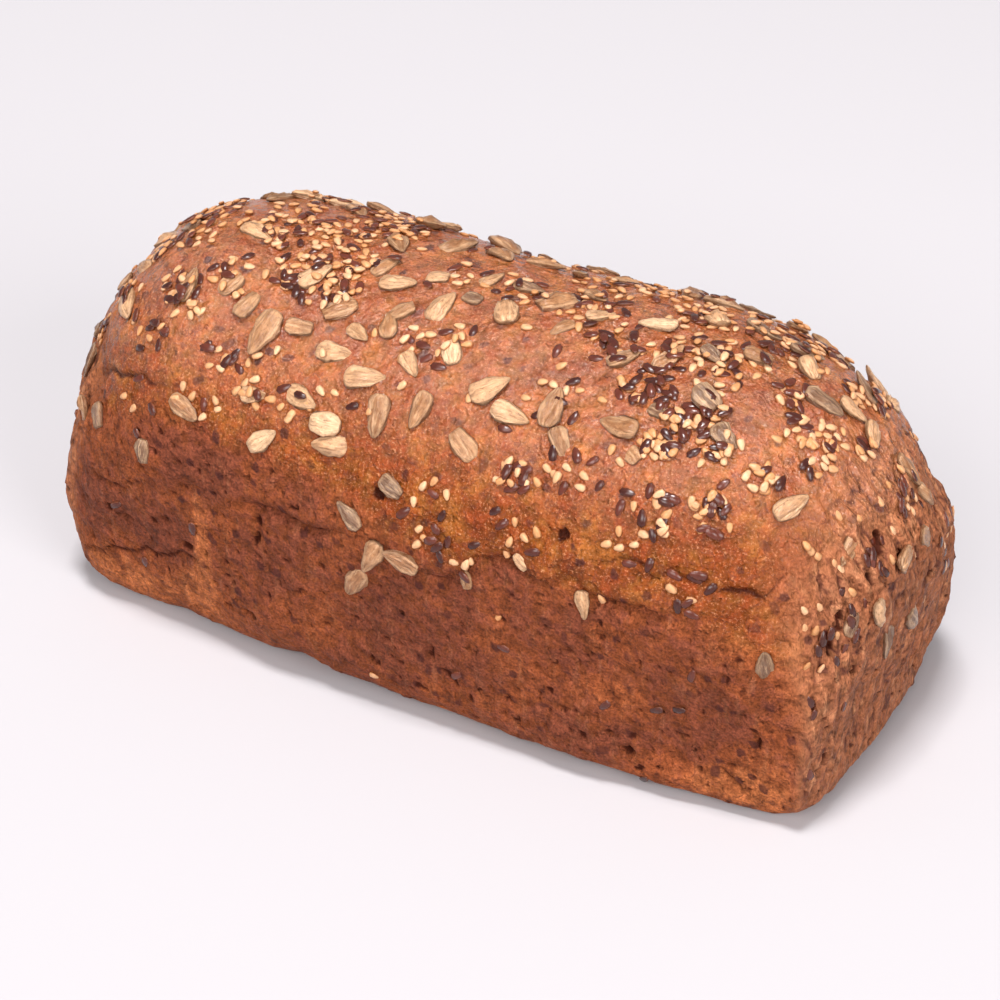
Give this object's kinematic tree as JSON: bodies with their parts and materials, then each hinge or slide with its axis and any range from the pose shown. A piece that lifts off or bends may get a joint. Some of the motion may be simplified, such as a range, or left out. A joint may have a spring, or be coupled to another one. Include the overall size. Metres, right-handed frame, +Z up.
{
  "type": "low carb sourdough bread",
  "caption": "Whole tin-baked loaf with a domed brown crust, strewn with sunflower kernels, sesame and linseed.",
  "frame": {"origin": "under the middle of the loaf, on the surface that it rests on", "axes": "+X along the loaf towards its squarer end, -Y out of the long side that the picture shows, +Z up through the domed crust"},
  "size_m": [0.2115, 0.101, 0.0934],
  "materials": {
    "crust": "satin"
  },
  "bodies": {
    "root": {"loaf": "crust"}
  },
  "joints": []
}
